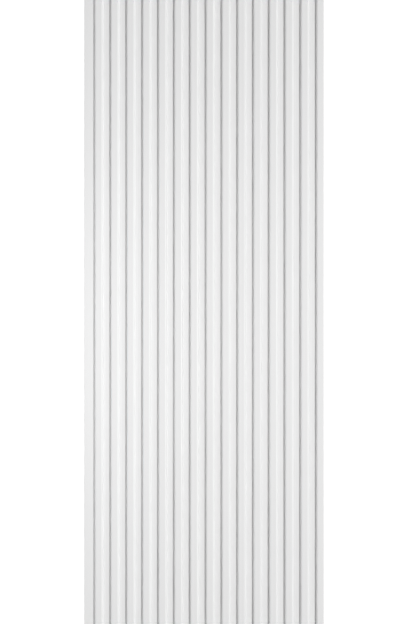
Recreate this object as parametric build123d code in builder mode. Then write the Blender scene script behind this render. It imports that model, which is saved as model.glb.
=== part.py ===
"""A slatted wall panel: one extruded plank with raised slats along its face.

The plank lies on its back. X runs across the slats, Y along them and Z up
through the face. The origin is at the middle of the back. The left edge is a
tongue that goes under the last slat of the next panel, where that slat has a
rebate cut under it.
"""

import os
from math import cos, radians, tan

from build123d import *

# Driving dimensions, in millimetres and degrees
panel_length = 2700
panel_thickness = 10
base_thickness = 6.5

slat_count = 15
slat_pitch = 20
slat_foot = 11
slat_draft = 10
crest_radius = 2
root_radius = 1

lap_width = 4
lap_side_gap = 0.4
lap_top_gap = 0.3
corner_radius = 0.4

channel_mouth = 5
channel_depth = 0.6
channel_side_angle = 60

# Sizes that follow from them
slat_height = panel_thickness - base_thickness
groove_width = slat_pitch - slat_foot
tongue_width = groove_width + lap_width
slats_span = (slat_count - 1) * slat_pitch

# The rounded corner of the lip is a little short of the last slat's foot
draft = radians(slat_draft)
lip_lean = (lap_top_gap + corner_radius) * tan(draft)
lip_rounding = corner_radius * (1 / cos(draft) - 1)
lip_setback = lip_lean + lip_rounding

panel_width = tongue_width + slats_span + slat_foot - lip_setback
left_edge = -panel_width / 2
last_foot = panel_width / 2 + lip_setback
slats_centre = last_foot - slat_foot / 2 - slats_span / 2
rebate_width = lap_width + lap_side_gap
rebate_height = base_thickness + lap_top_gap

with BuildPart() as slat_panel:
    with BuildSketch(Plane.XZ) as section:
        # The flat base, from the tongue's edge to the last slat's foot
        with Locations((left_edge, 0)):
            Rectangle(last_foot - left_edge, base_thickness, align=Align.MIN)

        # The row of slats, each narrowing towards its crest
        slat_places = GridLocations(slat_pitch, 0, slat_count, 1).local_locations
        slat_feet = [Location((slats_centre, base_thickness)) * place for place in slat_places]
        with Locations(*slat_feet):
            Trapezoid(slat_foot, slat_height, 90 - slat_draft, align=(Align.CENTER, Align.MIN))

        # Rounded crests, and small fillets where the slats rise from the base
        crest_corners = section.vertices().group_by(Axis.Y)[-1]
        root_corners = section.vertices().group_by(Axis.Y)[-2].sort_by(Axis.X)[1:-1]
        fillet(crest_corners, crest_radius)
        fillet(root_corners, root_radius)

        # The rebate under the last slat, which takes the next panel's tongue
        with Locations((last_foot - rebate_width, 0)):
            Rectangle(rebate_width, rebate_height, align=Align.MIN, mode=Mode.SUBTRACT)

        # The lap's outer corners are broken
        tongue_corners = section.vertices().group_by(Axis.X)[0]
        lip_corner = section.vertices().group_by(Axis.X)[-1]
        fillet(tongue_corners + lip_corner, corner_radius)

        # Shallow channels in the back, under every slat but the one with the rebate
        channel_mouths = [Location((place.position.X, 0)) for place in slat_feet[:-1]]
        with Locations(*channel_mouths):
            Trapezoid(
                channel_mouth,
                channel_depth,
                channel_side_angle,
                align=(Align.CENTER, Align.MIN),
                mode=Mode.SUBTRACT,
            )

    extrude(amount=panel_length / 2, both=True)

slat_panel.part.label = "slat_panel"

os.makedirs("parts", exist_ok=True)
export_step(slat_panel.part, "parts/slat_panel.step")
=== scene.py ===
"""The looks of a slatted wall panel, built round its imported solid.

The panel is one foam plank with a row of tapered slats along its face. It lies
on its back, with X across the slats, Y along them and Z out of the face, and
the camera looks down on it. All lengths are in metres and all angles in degrees,
unless a docstring says otherwise.
"""

from __future__ import annotations

import logging
import math
from collections.abc import Iterator
from dataclasses import dataclass, field
from enum import Enum
from typing import Union

import bmesh
import bpy
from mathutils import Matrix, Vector

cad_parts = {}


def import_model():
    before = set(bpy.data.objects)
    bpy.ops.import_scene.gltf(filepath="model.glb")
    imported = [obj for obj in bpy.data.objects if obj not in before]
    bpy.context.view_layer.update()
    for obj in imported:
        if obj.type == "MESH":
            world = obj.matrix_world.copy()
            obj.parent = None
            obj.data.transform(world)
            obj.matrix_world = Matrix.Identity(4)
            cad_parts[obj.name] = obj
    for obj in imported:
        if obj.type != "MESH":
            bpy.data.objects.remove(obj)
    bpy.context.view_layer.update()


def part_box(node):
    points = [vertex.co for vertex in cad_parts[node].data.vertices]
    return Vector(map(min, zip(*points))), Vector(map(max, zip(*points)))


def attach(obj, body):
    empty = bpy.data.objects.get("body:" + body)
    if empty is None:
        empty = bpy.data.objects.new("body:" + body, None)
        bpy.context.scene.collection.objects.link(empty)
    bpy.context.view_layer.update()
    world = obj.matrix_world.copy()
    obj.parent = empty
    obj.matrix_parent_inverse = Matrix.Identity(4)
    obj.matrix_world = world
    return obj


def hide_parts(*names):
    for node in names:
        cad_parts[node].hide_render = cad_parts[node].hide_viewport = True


log = logging.getLogger("slat_panel")

Number = Union[int, float]
Value = Union["Signal", Number, tuple]

# The mean of a noise, about which a finish varies.
NOISE_MEAN = 0.5

# Digits after the point to which two places in the section are compared.
PLACE_DIGITS = 6
# How far over a level a place may be and still lie on it.
LEVEL_SLACK = 0.00001
# The least part of a face's normal along Y that makes it a cut end.
END_FACING = 0.9
# The least part of a face's normal towards the floor that makes it an underside.
UNDER_FACING = 0.2

# The mesh shades smoothly over an edge that turns by less than this.
SMOOTH_BELOW = 30.0
# The Weighted Normal modifier's strongest setting, where large faces stay flat.
FLAT_FACES_LEAD = 100


class Signal:
    """An output socket of a shader, which takes part in arithmetic."""

    def __init__(
        self, sheet: NodeSheet, socket: bpy.types.NodeSocket | None
    ) -> None:
        """Wrap a socket.

        Args:
            sheet: The node sheet that the socket belongs to.
            socket: The output socket itself, or nothing for a closing node.
        """
        self.sheet = sheet
        self.socket = socket

    def _maths(self, operation: str, first: Value, second: Value) -> Signal:
        """Add one Math node.

        Args:
            operation: The node's operation, such as MULTIPLY.
            first: Its first value.
            second: Its second value.

        Returns:
            The node's result.
        """
        settings = {"operation": operation}
        return self.sheet.node("ShaderNodeMath", settings, {0: first, 1: second})

    def __add__(self, other: Value) -> Signal:
        """Add a value."""
        return self._maths("ADD", self, other)

    def __radd__(self, other: Value) -> Signal:
        """Be added to a value."""
        return self._maths("ADD", other, self)

    def __sub__(self, other: Value) -> Signal:
        """Take a value away."""
        return self._maths("SUBTRACT", self, other)

    def __rsub__(self, other: Value) -> Signal:
        """Be taken away from a value."""
        return self._maths("SUBTRACT", other, self)

    def __mul__(self, other: Value) -> Signal:
        """Multiply by a value."""
        return self._maths("MULTIPLY", self, other)

    def __rmul__(self, other: Value) -> Signal:
        """Be multiplied with a value."""
        return self._maths("MULTIPLY", other, self)


class NodeSheet:
    """The node tree of a material or a world, with one method that adds any node."""

    # The Mix node names its sockets alike for each kind of value, so they go by
    # number. These are the ones for colours.
    MIX_SHARE = 0
    MIX_FIRST_COLOUR = 6
    MIX_SECOND_COLOUR = 7
    MIX_COLOUR_RESULT = 2

    def __init__(self, owner: bpy.types.Material | bpy.types.World) -> None:
        """Start with an empty node tree.

        Args:
            owner: The material or the world that the tree belongs to.
        """
        self.owner = owner
        self.owner.use_nodes = True
        self.tree = self.owner.node_tree
        self.tree.nodes.clear()

    @classmethod
    def of_material(cls, name: str) -> NodeSheet:
        """Start a new material.

        Args:
            name: The material's name.

        Returns:
            The material's empty sheet.
        """
        return cls(bpy.data.materials.new(name))

    def node(
        self,
        kind: str,
        settings: dict[str, object] | None = None,
        inputs: dict[str | int, Value] | None = None,
        output: str | int = 0,
    ) -> Signal:
        """Add a node.

        Args:
            kind: The node's type, such as ShaderNodeMath.
            settings: Values of the node's own properties, which are set first.
            inputs: A value or a signal for each named or numbered input socket.
            output: The name or number of the output that is wanted.

        Returns:
            The wanted output.
        """
        made = self.tree.nodes.new(kind)
        for key, value in (settings or {}).items():
            setattr(made, key, value)
        for key, value in (inputs or {}).items():
            if isinstance(value, Signal):
                self.tree.links.new(value.socket, made.inputs[key])
            else:
                made.inputs[key].default_value = value
        return Signal(self, made.outputs[output] if made.outputs else None)

    def place(self) -> Signal:
        """Return the point's place on the object, in metres."""
        return self.node("ShaderNodeTexCoord", output="Object")

    def stretched(self, place: Signal, scale: tuple[float, float, float]) -> Signal:
        """Scale a place along each axis.

        Args:
            place: The place to scale.
            scale: The factor along X, Y and Z.

        Returns:
            The scaled place.
        """
        return self.node(
            "ShaderNodeVectorMath", {"operation": "MULTIPLY"}, {0: place, 1: scale}
        )

    def noise(self, place: Signal, scale: float, detail: float) -> Signal:
        """Add a noise from 0 to 1.

        Args:
            place: Where the noise is read.
            scale: Its number of bumps to the metre.
            detail: How many finer noises lie over it.

        Returns:
            The noise's value.
        """
        return self.node(
            "ShaderNodeTexNoise",
            {"noise_dimensions": "3D"},
            {"Vector": place, "Scale": scale, "Detail": detail, "Roughness": 0.5},
            "Fac",
        )

    def blend(self, share: Value, first: tuple, second: tuple) -> Signal:
        """Mix two colours.

        Args:
            share: How much of the second colour there is.
            first: The colour at a share of 0.
            second: The colour at a share of 1.

        Returns:
            The mixed colour.
        """
        return self.node(
            "ShaderNodeMix",
            {"data_type": "RGBA", "clamp_factor": True},
            {
                self.MIX_SHARE: share,
                self.MIX_FIRST_COLOUR: first,
                self.MIX_SECOND_COLOUR: second,
            },
            self.MIX_COLOUR_RESULT,
        )

    def bump(
        self, height: Signal, depth: float, normal: Signal | None = None
    ) -> Signal:
        """Turn a height map into a tilted normal.

        Args:
            height: The relief, from 0 to 1.
            depth: What 1 stands for, in metres.
            normal: A normal that is already tilted, if there is one.

        Returns:
            The tilted normal.
        """
        inputs: dict[str | int, Value] = {
            "Height": height,
            "Distance": depth,
            "Strength": 1.0,
        }
        if normal is not None:
            inputs["Normal"] = normal
        return self.node("ShaderNodeBump", None, inputs)

    def finish(self, inputs: dict[str | int, Value]) -> bpy.types.Material:
        """Close the tree with a Principled shader.

        Args:
            inputs: The shader's values and signals.

        Returns:
            The finished material.
        """
        shader = self.node("ShaderNodeBsdfPrincipled", None, inputs)
        self.node("ShaderNodeOutputMaterial", None, {"Surface": shader})
        return self.owner


def grey(level: float) -> tuple[float, float, float, float]:
    """Return a neutral opaque colour.

    Args:
        level: Its linear brightness, from 0 to 1.

    Returns:
        The colour as red, green, blue and alpha.
    """
    return (level, level, level, 1.0)


WHITE = grey(1.0)


@dataclass(frozen=True)
class PrimedCoat:
    """The thin satin-matt white coat on the face.

    Its tone clouds a little along the plank. It has a very fine orange peel, and
    shows the faint lines that the die drew along the foam under it.
    """

    light: float = 0.765
    dark: float = 0.75
    roughness: float = 0.46

    cloud_scale: float = 7.0
    cloud_detail: float = 3.0
    cloud_tone_share: float = 0.6
    cloud_roughness: float = 0.06

    peel_scale: float = 420.0
    peel_detail: float = 2.0
    peel_depth: float = 0.000004

    line_scale: float = 900.0
    line_detail: float = 3.0
    line_depth: float = 0.000002
    line_length_share: float = 0.001
    line_tone_share: float = 0.4
    line_roughness: float = 0.08

    def material(self) -> bpy.types.Material:
        """Build the coat's material."""
        sheet = NodeSheet.of_material("primed_white")
        place = sheet.place()
        cloud = sheet.noise(place, self.cloud_scale, self.cloud_detail)
        peel = sheet.noise(place, self.peel_scale, self.peel_detail)
        drawn = sheet.stretched(place, (1.0, self.line_length_share, 1.0))
        lines = sheet.noise(drawn, self.line_scale, self.line_detail)
        share = self.cloud_tone_share * cloud + self.line_tone_share * lines
        tone = sheet.blend(share, grey(self.dark), grey(self.light))
        lined = sheet.bump(lines, self.line_depth)
        normal = sheet.bump(peel, self.peel_depth, lined)
        roughness = (
            self.roughness
            + self.cloud_roughness * (cloud - NOISE_MEAN)
            + self.line_roughness * (lines - NOISE_MEAN)
        )
        return sheet.finish(
            {"Base Color": tone, "Roughness": roughness, "Normal": normal}
        )


@dataclass(frozen=True)
class DrawnSkin:
    """The bare foam skin of the back and the rebate, with the die's lines along it."""

    light: float = 0.80
    dark: float = 0.76
    roughness: float = 0.62

    line_scale: float = 600.0
    line_detail: float = 4.0
    line_depth: float = 0.00003
    line_length_share: float = 0.004
    line_tone_share: float = 0.7
    line_roughness: float = 0.1

    pore_scale: float = 1500.0
    pore_detail: float = 1.0
    pore_depth: float = 0.00002
    pore_tone_share: float = 0.3

    def material(self) -> bpy.types.Material:
        """Build the skin's material."""
        sheet = NodeSheet.of_material("drawn_foam_skin")
        place = sheet.place()
        drawn = sheet.stretched(place, (1.0, self.line_length_share, 1.0))
        lines = sheet.noise(drawn, self.line_scale, self.line_detail)
        pores = sheet.noise(place, self.pore_scale, self.pore_detail)
        share = self.line_tone_share * lines + self.pore_tone_share * pores
        tone = sheet.blend(share, grey(self.dark), grey(self.light))
        lined = sheet.bump(lines, self.line_depth)
        roughness = self.roughness + self.line_roughness * (lines - NOISE_MEAN)
        normal = sheet.bump(pores, self.pore_depth, lined)
        return sheet.finish(
            {"Base Color": tone, "Roughness": roughness, "Normal": normal}
        )


@dataclass(frozen=True)
class SawnFoam:
    """The cut ends, where the foam's cells are open and the saw has left lines, with
    painted shade darkening each open cell's hollow.
    """

    # The tone of the cells' walls, and the darker tone painted into their hollows as
    # shade.
    light: float = 0.82
    dark: float = 0.66
    roughness: float = 0.85

    cell_scale: float = 2200.0
    cell_shade_contrast: float = 1.3
    cell_depth: float = 0.00012

    saw_scale: float = 1100.0
    saw_detail: float = 2.0
    saw_depth: float = 0.00006
    saw_length_share: float = 0.05

    def material(self) -> bpy.types.Material:
        """Build the cut foam's material."""
        sheet = NodeSheet.of_material("sawn_foam")
        place = sheet.place()
        cells = sheet.node(
            "ShaderNodeTexVoronoi",
            {"feature": "F1", "voronoi_dimensions": "3D"},
            {"Vector": place, "Scale": self.cell_scale, "Randomness": 1.0},
            "Distance",
        )
        drawn = sheet.stretched(place, (1.0, 1.0, self.saw_length_share))
        saw = sheet.noise(drawn, self.saw_scale, self.saw_detail)
        # Painted shade: the tone darkens towards each cell's middle, where the bump
        # sinks it into a hollow.
        share = self.cell_shade_contrast * cells
        tone = sheet.blend(share, grey(self.dark), grey(self.light))
        sawn = sheet.bump(saw, self.saw_depth)
        normal = sheet.bump(cells, self.cell_depth, sawn)
        return sheet.finish(
            {"Base Color": tone, "Roughness": self.roughness, "Normal": normal}
        )


@dataclass(frozen=True)
class StudioFloor:
    """The plain white floor, lit enough of itself that it shows no edge."""

    colour: float = 0.25
    glow: float = 0.9
    roughness: float = 0.9
    half_width: float = 80.0

    def build(self) -> bpy.types.Object:
        """Make the floor.

        Returns:
            The floor's object.
        """
        shape = bmesh.new()
        bmesh.ops.create_grid(shape, x_segments=1, y_segments=1, size=self.half_width)
        mesh = bpy.data.meshes.new("studio_floor")
        shape.to_mesh(mesh)
        shape.free()
        floor = bpy.data.objects.new("studio_floor", mesh)
        bpy.context.scene.collection.objects.link(floor)
        sheet = NodeSheet.of_material("pale_floor")
        mesh.materials.append(
            sheet.finish(
                {
                    "Base Color": grey(self.colour),
                    "Roughness": self.roughness,
                    "Emission Color": WHITE,
                    "Emission Strength": self.glow,
                }
            )
        )
        return floor


class Rounding(Enum):
    """A kind of corner in the section: its name, its radius, and the steps round it.

    The name keeps two kinds of one size apart, as an Enum joins equal values.
    """

    SHARP = ("sharp", 0.0, 0)
    CREST = ("crest", 0.002, 12)
    ROOT = ("root", 0.001, 6)
    TONGUE = ("tongue", 0.0004, 4)
    LIP = ("lip", 0.0004, 4)

    @property
    def radius(self) -> float:
        """Return the corner's radius."""
        return self.value[1]

    @property
    def steps(self) -> int:
        """Return the number of flat steps round the corner."""
        return self.value[2]


class Side(Enum):
    """A region with a finish of its own, and its number among the mesh's materials."""

    FACE = 0
    BACK = 1
    END = 2


@dataclass(frozen=True)
class Corner:
    """A corner of the section before it is rounded."""

    x: float
    z: float
    rounding: Rounding = Rounding.SHARP


def spot(x: float, z: float) -> tuple[float, float]:
    """Return a place in the section in a form that can be compared.

    Args:
        x: The place across the slats.
        z: The height.

    Returns:
        Both, to the same number of digits.
    """
    return (round(x, PLACE_DIGITS), round(z, PLACE_DIGITS))


@dataclass
class SlatPanel:
    """The plank: its sizes, its mesh and its finishes.

    Its mesh has a fillet along each foot of its slats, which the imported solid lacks.
    """

    node: str = "slat_panel"
    material_slot: str = "primed_white"

    base_thickness: float = 0.0065
    slat_count: int = 15
    slat_pitch: float = 0.020
    slat_foot: float = 0.011
    slat_draft: float = 10.0

    lap_width: float = 0.004
    lap_side_gap: float = 0.0004
    lap_top_gap: float = 0.0003

    channel_mouth: float = 0.005
    channel_depth: float = 0.0006
    channel_side_angle: float = 60.0

    coat: PrimedCoat = field(default_factory=PrimedCoat)
    skin: DrawnSkin = field(default_factory=DrawnSkin)
    cut: SawnFoam = field(default_factory=SawnFoam)

    def __post_init__(self) -> None:
        """Read the plank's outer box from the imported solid."""
        self.low, self.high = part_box(self.node)

    @property
    def draft(self) -> float:
        """Return the lean of the slats' walls, in radians."""
        return math.radians(self.slat_draft)

    @property
    def last_foot(self) -> float:
        """Return the last slat's right foot, which the rebate cuts away."""
        lip = Rounding.LIP.radius
        lean = (self.lap_top_gap + lip) * math.tan(self.draft)
        return self.high.x + lean + lip * (1 / math.cos(self.draft) - 1)

    @property
    def groove_floor(self) -> float:
        """Return the height of the base's face between the slats."""
        return self.low.z + self.base_thickness

    @property
    def channel_roof(self) -> float:
        """Return the height of the roof of the back's channels."""
        return self.low.z + self.channel_depth

    @property
    def rebate_wall(self) -> float:
        """Return the place of the rebate's wall, which the next tongue stands by."""
        return self.last_foot - self.lap_width - self.lap_side_gap

    @property
    def turns(self) -> dict[Rounding, float]:
        """Return the outline's turn at each kind of round corner, in radians."""
        quarter = math.pi / 2
        return {
            Rounding.CREST: quarter - self.draft,
            Rounding.ROOT: quarter - self.draft,
            Rounding.TONGUE: quarter,
            Rounding.LIP: quarter + self.draft,
        }

    def slat_feet(self) -> list[float]:
        """Return the left foot of each slat, from the tongue's side."""
        run = (self.slat_count - 1) * self.slat_pitch
        first = self.last_foot - self.slat_foot - run
        return [first + index * self.slat_pitch for index in range(self.slat_count)]

    def back_corners(self) -> Iterator[Corner]:
        """Yield the corners of the back and its channels, from left to right."""
        side_angle = math.radians(self.channel_side_angle)
        side_run = self.channel_depth / math.tan(side_angle)
        half_mouth = self.channel_mouth / 2
        yield Corner(self.low.x, self.low.z, Rounding.TONGUE)
        for foot in self.slat_feet()[:-1]:
            middle = foot + self.slat_foot / 2
            yield Corner(middle - half_mouth, self.low.z)
            yield Corner(middle - half_mouth + side_run, self.channel_roof)
            yield Corner(middle + half_mouth - side_run, self.channel_roof)
            yield Corner(middle + half_mouth, self.low.z)

    def rebate_corners(self) -> Iterator[Corner]:
        """Yield the corners of the rebate under the last slat, and of its lip."""
        roof = self.groove_floor + self.lap_top_gap
        lip = self.last_foot - self.lap_top_gap * math.tan(self.draft)
        yield Corner(self.rebate_wall, self.low.z)
        yield Corner(self.rebate_wall, roof)
        yield Corner(lip, roof, Rounding.LIP)

    def face_corners(self) -> Iterator[Corner]:
        """Yield the corners of the slats and their gaps, from right to left."""
        floor = self.groove_floor
        run = (self.high.z - floor) * math.tan(self.draft)
        feet = self.slat_feet()
        for foot in reversed(feet):
            right = foot + self.slat_foot
            if foot != feet[-1]:
                yield Corner(right, floor, Rounding.ROOT)
            yield Corner(right - run, self.high.z, Rounding.CREST)
            yield Corner(foot + run, self.high.z, Rounding.CREST)
            yield Corner(foot, floor, Rounding.ROOT)
        yield Corner(self.low.x, floor, Rounding.TONGUE)

    def section(self) -> list[Corner]:
        """Return the whole outline, anticlockwise as seen from the front end."""
        return [
            *self.back_corners(),
            *self.rebate_corners(),
            *self.face_corners(),
        ]

    def round_corners(self, shape: bmesh.types.BMesh, corners: list[Corner]) -> None:
        """Bevel the long edges that stand on rounded corners.

        Args:
            shape: The extruded plank.
            corners: The corners of its section.
        """
        for kind, turn in self.turns.items():
            spots = {spot(c.x, c.z) for c in corners if c.rounding is kind}
            edges = [
                edge
                for edge in shape.edges
                if all(spot(v.co.x, v.co.z) in spots for v in edge.verts)
                and edge.verts[0].co.y != edge.verts[1].co.y
            ]
            bmesh.ops.bevel(
                shape,
                geom=edges,
                offset=kind.radius * math.tan(turn / 2),
                offset_type="OFFSET",
                segments=kind.steps,
                profile=0.5,
                affect="EDGES",
                material=-1,
            )

    def side_of(self, part: bmesh.types.BMFace) -> Side:
        """Say which region a face of the mesh belongs to.

        Args:
            part: A face of the finished plank.

        Returns:
            The region.
        """
        if abs(part.normal.y) > END_FACING:
            return Side.END
        middle = part.calc_center_median()
        on_back = middle.z <= self.channel_roof + LEVEL_SLACK
        in_rebate = middle.x > self.rebate_wall and part.normal.z < -UNDER_FACING
        return Side.BACK if on_back or in_rebate else Side.FACE

    def mesh(self) -> bpy.types.Mesh:
        """Build the plank's mesh: the section's outline, drawn along Y and rounded.

        Returns:
            The finished mesh.
        """
        shape = bmesh.new()
        corners = self.section()
        outline = [shape.verts.new((c.x, self.low.y, c.z)) for c in corners]
        front = shape.faces.new(outline)
        drawn = bmesh.ops.extrude_face_region(shape, geom=[front])
        moved = [part for part in drawn["geom"] if isinstance(part, bmesh.types.BMVert)]
        length = Vector((0, self.high.y - self.low.y, 0))
        bmesh.ops.translate(shape, verts=moved, vec=length)
        self.round_corners(shape, corners)
        bmesh.ops.recalc_face_normals(shape, faces=shape.faces)
        for part in shape.faces:
            side = self.side_of(part)
            part.material_index = side.value
            part.smooth = side is not Side.END
        for edge in shape.edges:
            edge.smooth = edge.calc_face_angle(math.pi) < math.radians(SMOOTH_BELOW)
        ends = [part for part in shape.faces if part.material_index == Side.END.value]
        bmesh.ops.triangulate(shape, faces=ends)
        mesh = bpy.data.meshes.new("slatted_plank")
        shape.to_mesh(mesh)
        shape.free()
        return mesh

    def build(self) -> bpy.types.Object:
        """Make the plank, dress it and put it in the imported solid's place.

        Returns:
            The plank's object.
        """
        mesh = self.mesh()
        for finish in (self.coat, self.skin, self.cut):
            mesh.materials.append(finish.material())
        plank = bpy.data.objects.new("slatted_plank", mesh)
        bpy.context.scene.collection.objects.link(plank)
        flats = plank.modifiers.new("flat_faces_keep_their_normals", "WEIGHTED_NORMAL")
        flats.weight = FLAT_FACES_LEAD
        flats.keep_sharp = True
        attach(plank, "root")
        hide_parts(self.node)
        return plank


@dataclass(frozen=True)
class SoftLight:
    """A soft box that hangs over the panel and is turned to face it.

    Its lean is the angle from upright, to the right where it is above 0. Its
    distance is from the panel's middle line, along is its place beside that line,
    and its power is in watts.
    """

    name: str
    lean: float
    distance: float
    power: float
    width: float
    length: float
    along: float = 0.0

    def build(self) -> bpy.types.Object:
        """Make the light.

        Returns:
            The light's object.
        """
        lamp = bpy.data.lights.new(self.name, "AREA")
        lamp.shape = "RECTANGLE"
        lamp.size = self.width
        lamp.size_y = self.length
        lamp.energy = self.power
        made = bpy.data.objects.new(self.name, lamp)
        lean = math.radians(self.lean)
        made.location = (
            self.distance * math.sin(lean),
            self.along,
            self.distance * math.cos(lean),
        )
        made.rotation_euler = (0.0, lean, 0.0)
        made.visible_camera = False
        bpy.context.scene.collection.objects.link(made)
        return made


@dataclass(frozen=True)
class PhotoCamera:
    """A camera over the panel that frames it as the photo does.

    It stands a little to the left, so the left slats look a little wider. The frame
    and the panel's two edges in it are in pixels, and the sensor is in millimetres.
    """

    frame_width: int = 416
    frame_height: int = 624
    panel_left: float = 83.9
    panel_right: float = 324.8
    distance: float = 1.14
    lean: float = -2.0
    sensor: float = 36.0

    def build(self, low: Vector, high: Vector) -> bpy.types.Object:
        """Make the camera and give it to the scene.

        Args:
            low: The panel's lowest corner.
            high: The panel's highest corner.

        Returns:
            The camera's object.
        """
        lean = math.radians(self.lean)
        half_across = (high.x - low.x) * math.cos(lean) / 2
        half_depth = (high.x - low.x) * math.sin(lean) / 2
        # The tangents of the angles from the camera's axis to the panel's edges.
        left = half_across / (self.distance + half_depth)
        right = half_across / (self.distance - half_depth)
        pixels = self.panel_right - self.panel_left
        axis = self.panel_left + pixels * left / (left + right)
        lens = bpy.data.cameras.new("photo_camera")
        lens.sensor_width = self.sensor
        lens.lens = self.sensor / self.frame_height * pixels / (left + right)
        lens.shift_x = (self.frame_width / 2 - axis) / self.frame_height
        camera = bpy.data.objects.new("photo_camera", lens)
        camera.location = (
            (low.x + high.x) / 2 + self.distance * math.sin(lean),
            0.0,
            high.z + self.distance * math.cos(lean),
        )
        camera.rotation_euler = (0.0, lean, 0.0)
        bpy.context.scene.collection.objects.link(camera)
        bpy.context.scene.camera = camera
        return camera


@dataclass(frozen=True)
class StudioAir:
    """The room's dim light, which pales towards the horizon as a backdrop does."""

    overhead: float = 0.16
    horizon: float = 1.0
    fade_top: float = 18.0

    def build(self) -> bpy.types.World:
        """Make the world and give it to the scene.

        Returns:
            The world.
        """
        sheet = NodeSheet(bpy.data.worlds.new("studio_air"))
        direction = sheet.node("ShaderNodeTexCoord", output="Generated")
        rise = sheet.node("ShaderNodeSeparateXYZ", None, {"Vector": direction}, "Z")
        fade = {
            "Value": rise,
            "From Max": math.sin(math.radians(self.fade_top)),
            "To Min": self.horizon,
            "To Max": self.overhead,
        }
        strength = sheet.node("ShaderNodeMapRange", None, fade, "Result")
        glow = {"Color": WHITE, "Strength": strength}
        shine = sheet.node("ShaderNodeBackground", None, glow)
        sheet.node("ShaderNodeOutputWorld", None, {"Surface": shine})
        bpy.context.scene.world = sheet.owner
        return sheet.owner


@dataclass(frozen=True)
class Studio:
    """The floor, the soft lights and the air of the studio."""

    air: StudioAir = field(default_factory=StudioAir)
    floor: StudioFloor = field(default_factory=StudioFloor)
    lights: tuple[SoftLight, ...] = (
        SoftLight(
            "key_softbox", lean=38, distance=6.0, power=304, width=1.6, length=1.6
        ),
        SoftLight(
            "fill_softbox",
            lean=-30,
            distance=0.7,
            power=1.27,
            width=0.15,
            length=0.3,
            along=-0.04,
        ),
        SoftLight(
            "low_left_softbox",
            lean=-78,
            distance=6.0,
            power=50,
            width=1.0,
            length=1.5,
            along=-2.0,
        ),
    )

    def build(self) -> None:
        """Make the studio round the panel."""
        self.floor.build()
        for light in self.lights:
            light.build()
        self.air.build()
        settings = bpy.context.scene.view_settings
        settings.view_transform = "Standard"
        settings.look = "None"


def main() -> None:
    """Load the frame and build the panel and its studio."""
    logging.basicConfig(level=logging.INFO, format="%(message)s")
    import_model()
    panel = SlatPanel()
    plank = panel.build()
    log.info("%s: %d faces", plank.name, len(plank.data.polygons))
    Studio().build()
    PhotoCamera().build(panel.low, panel.high)
    log.info("studio and camera made")


if __name__ == "__main__":
    main()
